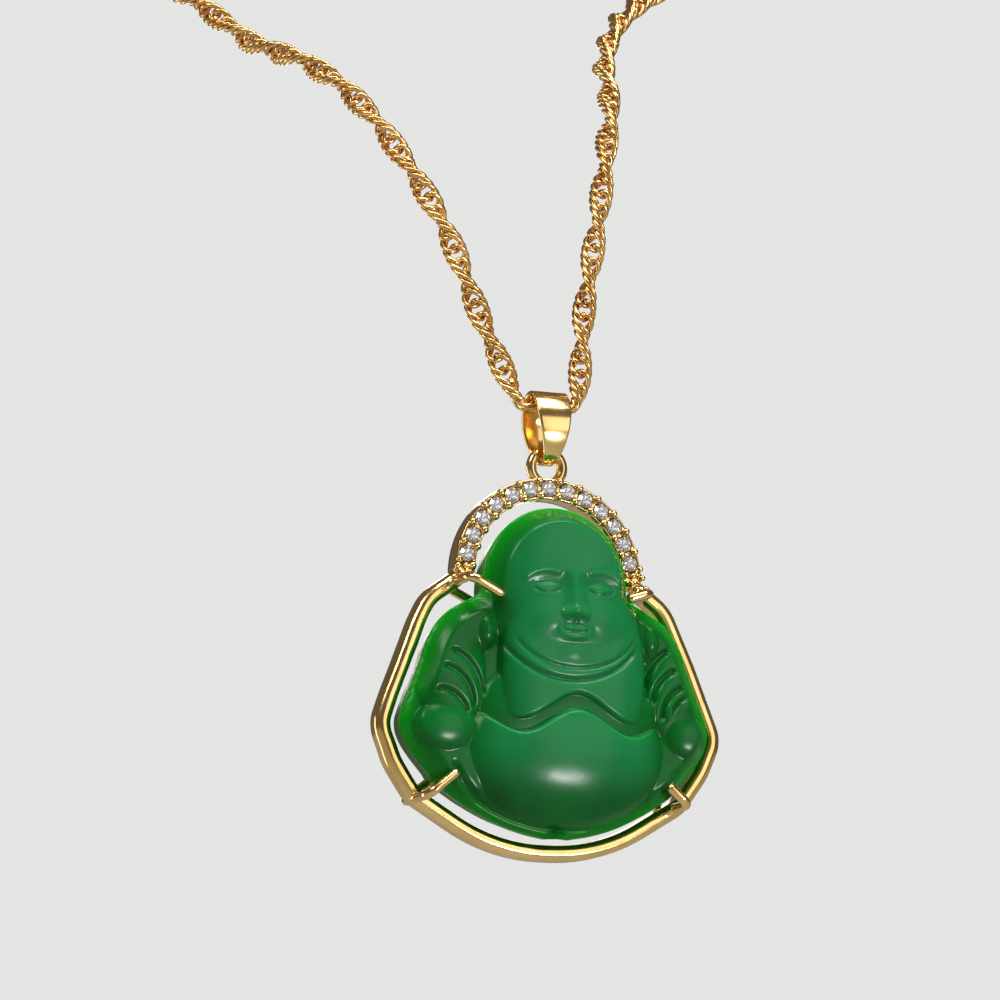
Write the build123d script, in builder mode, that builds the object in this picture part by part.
"""Jade buddha pendant necklace, in millimetres.

The necklace hangs as it is worn: +Z is up, the pendant faces -Y and +X is on the viewer's right. The
origin is the nape point, in the middle of the clasp at the top of the chain's loop.
"""
from build123d import *
from collections import namedtuple
from math import atan2, cos, degrees, exp, hypot, pi, radians, sin, sqrt, tan
import os

os.makedirs("parts", exist_ok=True)

# Chain
CHAIN_DIAMETER = 1.6
CHAIN_FOLD_RADIUS = 1.6
CHAIN_RUN_SHARE = 0.45

# The middle of the chain inside the bail, which is the axis that the bail swings about
BAIL_AXIS = Vector(6.2, -137.0, -87.65)

# Chain route from the clasp down the left side to the bail: x, y, z
LEFT_ROUTE = [
    (-21.7, -5.0, -0.2),
    (-42.0, -20.5, -2.0),
    (-55.2, -48.0, -9.1),
    (-55.0, -76.5, -21.5),
    (-42.5, -99.0, -34.5),
    (-24.5, -108.5, -43.5),
    (-16.8, -115.0, -50.0),
    (-13.8, -120.6, -55.0),
    (-12.5, -125.1, -56.6),
    (-11.0, -129.0, -58.7),
    (-9.3, -132.0, -61.3),
    (-7.3, -134.2, -64.6),
    (-5.1, -135.8, -68.6),
    (-2.5, -136.8, -73.3),
    (-0.1, -137.1, -79.7),
    (2.1, -137.0, -84.2),
]
# Chain route from the bail up the right side to the clasp: x, y, z
RIGHT_ROUTE = [
    (9.4, -137.0, -80.2),
    (10.1, -137.2, -75.5),
    (11.0, -137.1, -70.3),
    (11.9, -136.3, -65.3),
    (13.6, -133.4, -59.8),
    (14.6, -129.0, -55.7),
    (18.2, -123.8, -50.0),
    (25.8, -117.0, -44.5),
    (40.5, -104.5, -35.5),
    (54.5, -79.5, -22.5),
    (56.0, -50.1, -9.8),
    (43.5, -22.0, -2.3),
    (22.6, -5.5, -0.2),
]

# Clasp
CLASP_BODY_LENGTH = 7.6
CLASP_DIAMETER = 3.2
CLASP_TIP_DIAMETER = 1.8
EYELET_RADIUS = 0.95
EYELET_WIRE = 0.6
EYELET_SINK = 0.35
CHAIN_END_GAP = 0.2

# Bail
BAIL_HEIGHT = 6.2
BAIL_DEPTH = 4.2
BAIL_WALL = 0.4
BAIL_TOP_WIDTH = 3.2
BAIL_MIDDLE_WIDTH = 2.6
BAIL_FOOT_WIDTH = 1.0
BAIL_CHAIN_GAP = 0.1
BAIL_RING_GAP = 0.38
LEFT_CORNER_GAP = 0.82
RIGHT_CORNER_GAP = 1.27

# Ring on top of the frame
RING_RADIUS = 1.37
RING_WIRE = 0.88
RING_SINK = 0.86
RING_FORWARD = 0.4

# Pendant frame
FRAME_WIDTH = 30.3
FRAME_DROP = 13.25
WIRE_WIDTH = 1.35
WIRE_DEPTH = 2.0
WIRE_ROUNDING = 0.6
SHOULDER_DROP = 0.5
WIRE_END_INSET = 0.3

# Stone arch, a band round a centre ARCH_HEIGHT above the pendant's middle
ARCH_HEIGHT = 10.0
ARCH_OUTER_RADIUS = 8.2
ARCH_WIDTH = 1.7
ARCH_FRONT = 0.85
ARCH_BACK = 0.9
ARCH_DIP = 4.0
STONE_COUNT = 13
STONE_PITCH = 13.0
STONE_DIAMETER = 1.36
STONE_GAP = 0.05
SEAT_DEPTH = 0.75
TABLE_SHARE = 0.56
CROWN_SHARE = 0.16
PAVILION_SHARE = 0.40
GIRDLE_HEIGHT = 0.06
BEAD_DIAMETER = 0.56
BEAD_INSET = 0.2

# Jade
JADE_GAP = 0.25
HEAD_GAP = 1.0
HEAD_SIDE_GAP = 0.22
JADE_BACK = 1.3
JADE_EDGE = 2.55
JADE_RELIEF = 2.45
JADE_BACK_INSET = 0.8
JADE_EDGE_ROUNDING = 0.35
RIM_WIDTH = 1.5
RIM_RISE = 0.16
RIM_SAMPLES = 120
JADE_COLUMNS = 60
JADE_ROWS = 64
JADE_END_ROW = 0.35

# Claws
CLAW_DIAMETER = 0.8
CLAW_GAP = 0.08
CLAW_BEND = 0.75
CLAW_SEAT_REACH = 2.6

# Wire frame, right half below its end on the arch: x as a share of the half width, z as a share of the
# height from foot to shoulder, radius as a share of the frame's width
WirePoint = namedtuple("WirePoint", "x z radius")
WIRE_POINTS = [
    WirePoint(0.715, 0.921, 0.116),
    WirePoint(0.860, 0.710, 0.396),
    WirePoint(1.022, 0.445, 0.079),
    WirePoint(0.940, 0.318, 0.165),
    WirePoint(0.801, 0.191, 0.086),
    WirePoint(0.318, 0.000, 0.495),
]

# Jade outline below the head: z as a share of the jade's height, x as a share of its half width
OutlinePoint = namedtuple("OutlinePoint", "z x")
JADE_OUTLINE = [
    OutlinePoint(0.000, 0.080),
    OutlinePoint(0.012, 0.210),
    OutlinePoint(0.036, 0.370),
    OutlinePoint(0.080, 0.555),
    OutlinePoint(0.118, 0.680),
    OutlinePoint(0.150, 0.768),
    OutlinePoint(0.180, 0.815),
    OutlinePoint(0.230, 0.880),
    OutlinePoint(0.280, 0.944),
    OutlinePoint(0.325, 0.990),
    OutlinePoint(0.350, 0.985),
    OutlinePoint(0.400, 0.945),
    OutlinePoint(0.460, 0.900),
    OutlinePoint(0.520, 0.862),
    OutlinePoint(0.580, 0.822),
    OutlinePoint(0.630, 0.766),
    OutlinePoint(0.670, 0.690),
    OutlinePoint(0.700, 0.590),
    OutlinePoint(0.722, 0.508),
    OutlinePoint(0.740, 0.468),
]
HEAD_CENTRE_SHARE = 0.757

# Raised forms of the carving. x and rx are shares of the jade's half width, z and rz of its height, and
# rise of the relief.
Form = namedtuple("Form", "name x z rx rz rise")
JADE_FORMS = [
    Form("left shoulder", -0.600, 0.622, 0.240, 0.085, 0.36),
    Form("right shoulder", 0.650, 0.612, 0.220, 0.085, 0.36),
    Form("left arm", -0.690, 0.475, 0.220, 0.180, 0.44),
    Form("right arm", 0.745, 0.460, 0.190, 0.180, 0.44),
    Form("left knee", -0.660, 0.200, 0.270, 0.125, 0.38),
    Form("right knee", 0.720, 0.200, 0.220, 0.115, 0.38),
    Form("torso", 0.066, 0.392, 0.576, 0.166, 0.60),
    Form("left hand", -0.730, 0.318, 0.200, 0.080, 0.62),
    Form("right hand", 0.835, 0.318, 0.150, 0.074, 0.58),
    Form("left ear lobe", -0.472, 0.610, 0.060, 0.048, 0.46),
    Form("right ear lobe", 0.590, 0.606, 0.055, 0.052, 0.46),
    Form("neck roll", 0.044, 0.676, 0.475, 0.204, 0.66),
    Form("head", 0.055, 0.783, 0.487, 0.269, 0.84),
    Form("jowl", 0.066, 0.654, 0.399, 0.144, 0.90),
    Form("nose", 0.055, 0.725, 0.062, 0.080, 0.98),
    Form("nose tip", 0.055, 0.674, 0.088, 0.028, 1.02),
    Form("left eyelid", -0.118, 0.745, 0.090, 0.022, 0.94),
    Form("right eyelid", 0.228, 0.745, 0.090, 0.022, 0.94),
    Form("upper lip", 0.055, 0.624, 0.110, 0.014, 0.97),
    Form("lower lip", 0.055, 0.602, 0.085, 0.014, 0.97),
    Form("chin", 0.055, 0.556, 0.100, 0.026, 0.95),
]
FORM_POWER = 0.30
FORM_BLEND = 0.09

# The chest ends below and the belly above on wavy lines across the figure, in the same shares
Wave = namedtuple("Wave", "middle height period rise")
CHEST_WAVE = Wave(0.081, 0.381, 0.708, 0.039)
BELLY_WAVE = Wave(0.081, 0.358, 0.708, 0.037)
WAVE_STEP = 0.017
CHEST = Form("chest", 0.077, 0.503, 0.472, 0.276, 0.82)
CHEST_SQUARENESS = 4
BELLY = Form("belly", 0.037, 0.260, 0.649, 0.228, 1.03)
BELLY_POWER = 0.5

# Creases of the carving, each an arc of an ellipse: centre, radii, start and end angle, depth as a share
# of the relief
Crease = namedtuple("Crease", "name x z rx rz start end depth")
JADE_CREASES = [
    Crease("neck fold", 0.044, 0.676, 0.480, 0.206, 205, 335, 0.14),
    Crease("left upper sleeve fold", -0.793, 0.403, 0.303, 0.153, 2, 76, 0.20),
    Crease("left middle sleeve fold", -0.793, 0.381, 0.238, 0.120, -6, 84, 0.20),
    Crease("left lower sleeve fold", -0.786, 0.326, 0.205, 0.103, 16, 96, 0.18),
    Crease("right sleeve edge", 0.834, 0.459, 0.273, 0.138, 112, 200, 0.18),
    Crease("right upper sleeve fold", 0.827, 0.414, 0.224, 0.113, 104, 184, 0.19),
    Crease("right middle sleeve fold", 0.856, 0.378, 0.192, 0.097, 104, 190, 0.18),
    Crease("right lower sleeve fold", 0.893, 0.363, 0.173, 0.088, 104, 166, 0.16),
    Crease("base", 0.037, 0.263, 0.730, 0.239, 188, 352, 0.15),
]
CREASE_WIDTH = 0.26

# Four claws: the root on the wire and the tip on the jade, x as a share of the jade's half width and z as
# a share of its height
Claw = namedtuple("Claw", "name root_x root_z tip_x tip_z")
CLAWS = [
    Claw("upper left", -0.600, 0.768, -0.410, 0.722),
    Claw("upper right", 0.583, 0.751, 0.454, 0.731),
    Claw("lower left", -0.858, 0.112, -0.700, 0.176),
    Claw("lower right", 0.815, 0.116, 0.705, 0.162),
]


# Sizes that follow from the driving ones
chain_radius = CHAIN_DIAMETER / 2
ring_wire_radius = RING_WIRE / 2
bail_top = BAIL_AXIS.Z + chain_radius + BAIL_CHAIN_GAP + BAIL_WALL
bail_foot = bail_top - BAIL_HEIGHT
ring_top_wire = bail_foot + BAIL_WALL + BAIL_RING_GAP + ring_wire_radius
ring_height = ARCH_HEIGHT + ARCH_OUTER_RADIUS + RING_RADIUS + ring_wire_radius - RING_SINK
pendant_middle = Vector(BAIL_AXIS.X, BAIL_AXIS.Y + RING_FORWARD, ring_top_wire - RING_RADIUS - ring_height)
jade_half_width = FRAME_WIDTH / 2 - WIRE_WIDTH - JADE_GAP
jade_foot = -FRAME_DROP + WIRE_WIDTH + JADE_GAP
arch_inner_radius = ARCH_OUTER_RADIUS - ARCH_WIDTH
stone_row_radius = ARCH_OUTER_RADIUS - ARCH_WIDTH / 2
jade_top = ARCH_HEIGHT + arch_inner_radius - HEAD_GAP
head_half_width = arch_inner_radius - HEAD_SIDE_GAP
jade_height = jade_top - jade_foot

# The pendant's own plane: local x to the right, local y up and local z towards the viewer
front = Plane(origin=pendant_middle, x_dir=(1, 0, 0), z_dir=(0, -1, 0))
side = Plane(origin=(BAIL_AXIS.X, BAIL_AXIS.Y, bail_foot), x_dir=(0, 1, 0), z_dir=(1, 0, 0))


def on_pendant(x, z, forward):
    """A point of the pendant, from its place in the pendant's plane and its distance in front of it."""
    return front.from_local_coords(Vector(x, z, forward))


def jade_half(z):
    """Half width of the jade at a height over the pendant's middle."""
    share = (z - jade_foot) / jade_height
    if share >= HEAD_CENTRE_SHARE:
        climb = min((share - HEAD_CENTRE_SHARE) / (1 - HEAD_CENTRE_SHARE), 1)
        return head_half_width * sqrt(1 - climb * climb)
    rows = JADE_OUTLINE + [OutlinePoint(HEAD_CENTRE_SHARE, head_half_width / jade_half_width)]
    index = max(i for i, row in enumerate(rows[:-1]) if row.z <= max(share, 0))
    before = rows[max(index - 1, 0)]
    low, high = rows[index], rows[index + 1]
    after = rows[min(index + 2, len(rows) - 1)]
    span = high.z - low.z
    t = (share - low.z) / span
    slope_low = (high.x - before.x) / (high.z - before.z) * span
    slope_high = (after.x - low.x) / (after.z - low.z) * span
    value = (
        low.x * (1 + 2 * t) * (1 - t) ** 2
        + slope_low * t * (1 - t) ** 2
        + high.x * t * t * (3 - 2 * t)
        + slope_high * t * t * (t - 1)
    )
    return value * jade_half_width


def smooth_max(a, b, blend):
    """The larger of two heights, with the valley between them rounded."""
    overlap = max(blend - abs(a - b), 0) / blend
    return max(a, b) + overlap * overlap * blend / 4


def fade(t):
    """Smooth step from 0 to 1."""
    t = min(max(t, 0), 1)
    return t * t * (3 - 2 * t)


def crease_depth(row, x, z):
    """Depth of one crease at a place given in shares, falling off to its sides and ends."""
    u = (x - row.x) / row.rx
    v = (z - row.z) / row.rz
    angle = degrees(atan2(v, u))
    middle = (row.start + row.end) / 2
    turn = (angle - middle + 180) % 360 - 180
    end_fade = fade(((row.end - row.start) / 2 - abs(turn)) / 12)
    off = (hypot(u, v) - 1) * row.rx * jade_half_width
    return row.depth * end_fade * exp(-((off / CREASE_WIDTH) ** 2))


def wave_line(row, x):
    """Height of a wavy line across the figure at a place given in shares."""
    return row.height + row.rise * cos(2 * pi * (x - row.middle) / row.period)


def form_rise(form, x, z, power=FORM_POWER, squareness=2):
    """Rise of one raised form at a place given in shares."""
    inside = 1 - abs((x - form.x) / form.rx) ** squareness - ((z - form.z) / form.rz) ** 2
    return form.rise * max(inside, 0) ** power


def raised(rise, lifted):
    """A form's rise laid on what is there, where the form has any."""
    return smooth_max(rise, lifted, FORM_BLEND) if lifted > 0 else rise


jade_outline = []
for sample in range(RIM_SAMPLES + 1):
    height = jade_foot + jade_height * (1 - cos(pi * sample / RIM_SAMPLES)) / 2
    half = jade_half(height)
    jade_outline += [(-half, height), (half, height)]


def jade_surface(x, z):
    """How far the carved face stands in front of the pendant's plane."""
    u = x / jade_half_width
    v = (z - jade_foot) / jade_height
    rim = fade(min(hypot(x - rim_x, z - rim_z) for rim_x, rim_z in jade_outline) / RIM_WIDTH)
    rise = RIM_RISE * rim
    for form in JADE_FORMS:
        rise = raised(rise, form_rise(form, u, v))
    over_chest_line = fade((v - wave_line(CHEST_WAVE, u)) / WAVE_STEP)
    rise = raised(rise, form_rise(CHEST, u, v, squareness=CHEST_SQUARENESS) * over_chest_line)
    under_belly_line = fade((wave_line(BELLY_WAVE, u) - v) / WAVE_STEP)
    rise = raised(rise, form_rise(BELLY, u, v, power=BELLY_POWER) * under_belly_line)
    for crease in JADE_CREASES:
        rise -= crease_depth(crease, u, v)
    return JADE_EDGE + JADE_RELIEF * rim * max(rise, -0.1) - JADE_EDGE_ROUNDING * (1 - rim) ** 6


def corner_turn(before, corner, after):
    """Turn of a route at one of its points, in degrees."""
    return (corner - before).get_angle(after - corner)


# Chain: one tube for the twisted flat links, from one end of the clasp round to the other
clasp_reach = CLASP_BODY_LENGTH / 2 - EYELET_SINK + 2 * EYELET_RADIUS + EYELET_WIRE
chain_points = [Vector(-clasp_reach - CHAIN_END_GAP, 0, 0)]
chain_points += [Vector(*point) for point in LEFT_ROUTE]
chain_points += [BAIL_AXIS - Vector(BAIL_TOP_WIDTH / 2 + LEFT_CORNER_GAP, 0, 0)]
chain_points += [BAIL_AXIS + Vector(BAIL_TOP_WIDTH / 2 + RIGHT_CORNER_GAP, 0, 0)]
chain_points += [Vector(*point) for point in RIGHT_ROUTE]
chain_points += [Vector(clasp_reach + CHAIN_END_GAP, 0, 0)]
fold_corners = (len(LEFT_ROUTE) + 1, len(LEFT_ROUTE) + 2)
chain_runs = [(b - a).length for a, b in zip(chain_points, chain_points[1:])]
chain_radii = []
chain_length = sum(chain_runs)
for i in range(1, len(chain_points) - 1):
    turn = radians(corner_turn(*chain_points[i - 1:i + 2]))
    radius = CHAIN_RUN_SHARE * min(chain_runs[i - 1], chain_runs[i]) / tan(turn / 2)
    if i in fold_corners:
        radius = CHAIN_FOLD_RADIUS
    chain_radii.append(radius)
    chain_length += radius * (turn - 2 * tan(turn / 2))

with BuildPart() as chain:
    with BuildLine() as chain_path:
        FilletPolyline(*chain_points, radius=chain_radii)
    with BuildSketch(Plane(origin=chain_path.line @ 0, z_dir=chain_path.line % 0)):
        Circle(chain_radius)
    sweep()
chain.part.label = "chain"
export_step(chain.part, "parts/chain.step")

# Clasp: a turned barrel with an eyelet at each end, along X through the origin
with BuildPart() as clasp:
    with BuildSketch(Plane.XZ):
        with BuildLine():
            half = CLASP_BODY_LENGTH / 2
            barrel = ThreePointArc(
                (-half, CLASP_TIP_DIAMETER / 2), (0, CLASP_DIAMETER / 2), (half, CLASP_TIP_DIAMETER / 2)
            )
            Polyline(barrel @ 0, (-half, 0), (half, 0), barrel @ 1)
        make_face()
    revolve(axis=Axis.X)
    for end in (-1, 1):
        eyelet_middle = end * (half - EYELET_SINK + EYELET_RADIUS + EYELET_WIRE / 2)
        with Locations(Plane(origin=(eyelet_middle, 0, 0), z_dir=(0, 1, 0))):
            Torus(EYELET_RADIUS, EYELET_WIRE / 2)
clasp.part.label = "clasp"
export_step(clasp.part, "parts/clasp.step")


# Bail: a band bent to an oval loop, wide over the chain and narrow through the ring
with BuildPart() as bail:
    with BuildSketch(side):
        with Locations((0, BAIL_HEIGHT / 2)):
            Ellipse(BAIL_DEPTH / 2, BAIL_HEIGHT / 2)
            Ellipse(BAIL_DEPTH / 2 - BAIL_WALL, BAIL_HEIGHT / 2 - BAIL_WALL, mode=Mode.SUBTRACT)
    extrude(amount=BAIL_TOP_WIDTH, both=True)
    with BuildSketch(Plane(origin=(BAIL_AXIS.X, BAIL_AXIS.Y, bail_foot), x_dir=(1, 0, 0), z_dir=(0, -1, 0))):
        with BuildLine():
            right_edge = ThreePointArc(
                (BAIL_FOOT_WIDTH / 2, 0), (BAIL_MIDDLE_WIDTH / 2, BAIL_HEIGHT / 2), (BAIL_TOP_WIDTH / 2, BAIL_HEIGHT)
            )
            mirror(right_edge, about=Plane.YZ)
            Line((-BAIL_FOOT_WIDTH / 2, 0), (BAIL_FOOT_WIDTH / 2, 0))
            Line((-BAIL_TOP_WIDTH / 2, BAIL_HEIGHT), (BAIL_TOP_WIDTH / 2, BAIL_HEIGHT))
        make_face()
    extrude(amount=BAIL_DEPTH, both=True, mode=Mode.INTERSECT)
bail.part.label = "bail"
export_step(bail.part, "parts/bail.step")


def arch_place(angle, radius):
    """A place on the stone arch, from an angle above its right end."""
    return radius * cos(radians(angle)), ARCH_HEIGHT + radius * sin(radians(angle))


stone_angles = [90 + (i - (STONE_COUNT - 1) / 2) * STONE_PITCH for i in range(STONE_COUNT)]
stone_angles.reverse()
gap_angles = [(a + b) / 2 for a, b in zip(stone_angles, stone_angles[1:])]
bead_rows = (arch_inner_radius + BEAD_INSET, ARCH_OUTER_RADIUS - BEAD_INSET)
bead_places = [arch_place(angle, radius) for angle in gap_angles for radius in bead_rows]
end_rows = (bead_rows[0], (bead_rows[0] + bead_rows[1]) / 2, bead_rows[1])
for row, reach in enumerate((0.62, 0.98)):
    for column, radius in enumerate(end_rows):
        if (row + column) % 2 == 0:
            bead_places.append(arch_place(stone_angles[0] + reach * STONE_PITCH, radius))
            bead_places.append(arch_place(stone_angles[-1] - reach * STONE_PITCH, radius))

wire_half = FRAME_WIDTH / 2 - WIRE_WIDTH / 2
wire_foot = -FRAME_DROP + WIRE_WIDTH / 2
shoulder_height = ARCH_HEIGHT - SHOULDER_DROP
wire_rise = shoulder_height - wire_foot
wire_right = [(ARCH_OUTER_RADIUS - WIRE_END_INSET, shoulder_height)]
wire_right += [(p.x * wire_half, wire_foot + p.z * wire_rise) for p in WIRE_POINTS]
wire_left = [(-x, z) for x, z in reversed(wire_right)]
wire_radii = [p.radius * FRAME_WIDTH for p in WIRE_POINTS]
wire_points = [on_pendant(x, z, 0) for x, z in wire_right + wire_left]


def claw_route(claw):
    """A claw's path from its seat behind the jade, round the jade's edge and down on its face."""
    root_x = claw.root_x * jade_half_width
    root_z = jade_foot + claw.root_z * jade_height
    tip_x = claw.tip_x * jade_half_width
    tip_z = jade_foot + claw.tip_z * jade_height
    reach = hypot(tip_x - root_x, tip_z - root_z)
    seat_x = root_x + (tip_x - root_x) * CLAW_SEAT_REACH / reach
    seat_z = root_z + (tip_z - root_z) * CLAW_SEAT_REACH / reach
    clear = CLAW_DIAMETER / 2 + CLAW_GAP
    behind = -JADE_BACK - clear
    steps = [CLAW_DIAMETER * i / (2 * reach) for i in range(-1, int(2 * reach / CLAW_DIAMETER) + 2)]
    under = [(tip_x + (root_x - tip_x) * t, tip_z + (root_z - tip_z) * t) for t in steps]
    over = max(jade_surface(x, z) for x, z in under) + clear
    return [
        on_pendant(seat_x, seat_z, behind),
        on_pendant(root_x, root_z, behind),
        on_pendant(root_x, root_z, over + CLAW_GAP),
        on_pendant(tip_x, tip_z, over),
    ]


# Frame: wavy wire, stone arch, ring, beads and claws, all soldered together
with BuildPart() as pendant_frame:
    with BuildLine() as wire_path:
        FilletPolyline(*wire_points, radius=wire_radii + wire_radii[::-1])
    with BuildSketch(Plane(origin=wire_path.line @ 0, x_dir=(0, 1, 0), z_dir=wire_path.line % 0)):
        RectangleRounded(WIRE_DEPTH, WIRE_WIDTH, WIRE_ROUNDING)
    sweep()
    with BuildSketch(front.offset(-ARCH_BACK)):
        with BuildLine():
            outer = CenterArc((0, ARCH_HEIGHT), ARCH_OUTER_RADIUS, -ARCH_DIP, 180 + 2 * ARCH_DIP)
            inner = CenterArc((0, ARCH_HEIGHT), arch_inner_radius, -ARCH_DIP, 180 + 2 * ARCH_DIP)
            Line(outer @ 0, inner @ 0)
            Line(outer @ 1, inner @ 1)
        make_face()
    extrude(amount=ARCH_BACK + ARCH_FRONT)
    with Locations(Plane(origin=on_pendant(0, ring_height, RING_FORWARD), z_dir=(0, -1, 0))):
        Torus(RING_RADIUS, ring_wire_radius)
    for claw in CLAWS:
        with BuildLine() as claw_path:
            FilletPolyline(*claw_route(claw), radius=CLAW_BEND)
        with BuildSketch(Plane(origin=claw_path.line @ 0, z_dir=claw_path.line % 0)):
            Circle(CLAW_DIAMETER / 2)
        sweep()
        with Locations(claw_path.line @ 1, claw_path.line @ 0):
            Sphere(CLAW_DIAMETER / 2)
    with Locations(*[Plane(origin=on_pendant(x, z, ARCH_FRONT), z_dir=front.z_dir) for x, z in bead_places]):
        Sphere(BEAD_DIAMETER / 2)
    for angle in stone_angles:
        x, z = arch_place(angle, stone_row_radius)
        seat_plane = front.offset(ARCH_FRONT).shift_origin(on_pendant(x, z, ARCH_FRONT))
        with BuildSketch(seat_plane.offset(BEAD_DIAMETER)):
            Circle(STONE_DIAMETER / 2 + STONE_GAP)
        with BuildSketch(seat_plane.offset(-STONE_GAP)):
            Circle(STONE_DIAMETER / 2 + STONE_GAP)
        with BuildSketch(seat_plane.offset(-SEAT_DEPTH)):
            Circle(STONE_DIAMETER / 8)
        loft(ruled=True, mode=Mode.SUBTRACT)
pendant_frame.part.label = "pendant_frame"
export_step(pendant_frame.part, "parts/pendant_frame.step")

# Stones: eight-sided cuts with a table, a crown, a girdle and a pavilion
for number, angle in enumerate(stone_angles, start=1):
    x, z = arch_place(angle, stone_row_radius)
    girdle = front.offset(ARCH_FRONT).shift_origin(on_pendant(x, z, ARCH_FRONT))
    with BuildPart() as stone:
        with BuildSketch(girdle):
            RegularPolygon(STONE_DIAMETER / 2, 8)
        extrude(amount=GIRDLE_HEIGHT)
        with BuildSketch(girdle.offset(GIRDLE_HEIGHT)):
            RegularPolygon(STONE_DIAMETER / 2, 8)
        with BuildSketch(girdle.offset(GIRDLE_HEIGHT + CROWN_SHARE * STONE_DIAMETER)):
            RegularPolygon(TABLE_SHARE * STONE_DIAMETER / 2, 8)
        loft()
        with BuildSketch(girdle):
            RegularPolygon(STONE_DIAMETER / 2, 8)
        with BuildSketch(girdle.offset(-PAVILION_SHARE * STONE_DIAMETER)):
            RegularPolygon(0.04 * STONE_DIAMETER, 8)
        loft()
    stone.part.label = f"stone_{number:02d}"
    export_step(stone.part, f"parts/stone_{number:02d}.step")


def jade_solid():
    """The carved plaque: a grid over its face, a side wall and a flat back."""
    grid = []
    for j in range(JADE_ROWS + 1):
        turn = pi * (j + JADE_END_ROW) / (JADE_ROWS + 2 * JADE_END_ROW)
        z = jade_foot + jade_height * (1 - cos(turn)) / 2
        half = jade_half(z)
        row = []
        for i in range(JADE_COLUMNS + 1):
            x = half * (2 * i / JADE_COLUMNS - 1)
            row.append(on_pendant(x, z, jade_surface(x, z)))
        grid.append(row)
    faces = []
    for low, high in zip(grid, grid[1:]):
        for i in range(JADE_COLUMNS):
            faces.append((low[i], low[i + 1], high[i + 1]))
            faces.append((low[i], high[i + 1], high[i]))
    rim = grid[0] + [row[-1] for row in grid[1:-1]] + grid[-1][::-1] + [row[0] for row in grid[-2:0:-1]]
    middle = on_pendant(0, jade_foot + jade_height / 2, 0)
    back = []
    for point in rim:
        inward = Vector(middle.X - point.X, 0, middle.Z - point.Z).normalized() * JADE_BACK_INSET
        back.append(Vector(point.X, pendant_middle.Y + JADE_BACK, point.Z) + inward)
    for i in range(len(rim)):
        j = (i + 1) % len(rim)
        faces.append((rim[i], back[i], back[j]))
        faces.append((rim[i], back[j], rim[j]))
    skin = [Face(Wire.make_polygon(corners)) for corners in faces]
    skin.append(Face(Wire.make_polygon(back)))
    return Solid(Shell(skin))


# Jade: the seated figure, with its raised forms and creases
with BuildPart() as jade_buddha:
    add(jade_solid(), clean=False)
jade_buddha.part.label = "jade_buddha"
export_step(jade_buddha.part, "parts/jade_buddha.step")

print("chain radii:", [round(radius, 2) for radius in chain_radii])
print("chain length with clasp:", round(chain_length + 2 * (clasp_reach + CHAIN_END_GAP), 1))
print("chain tube volume over section times length:", chain.part.volume / (pi * chain_radius ** 2 * chain_length))
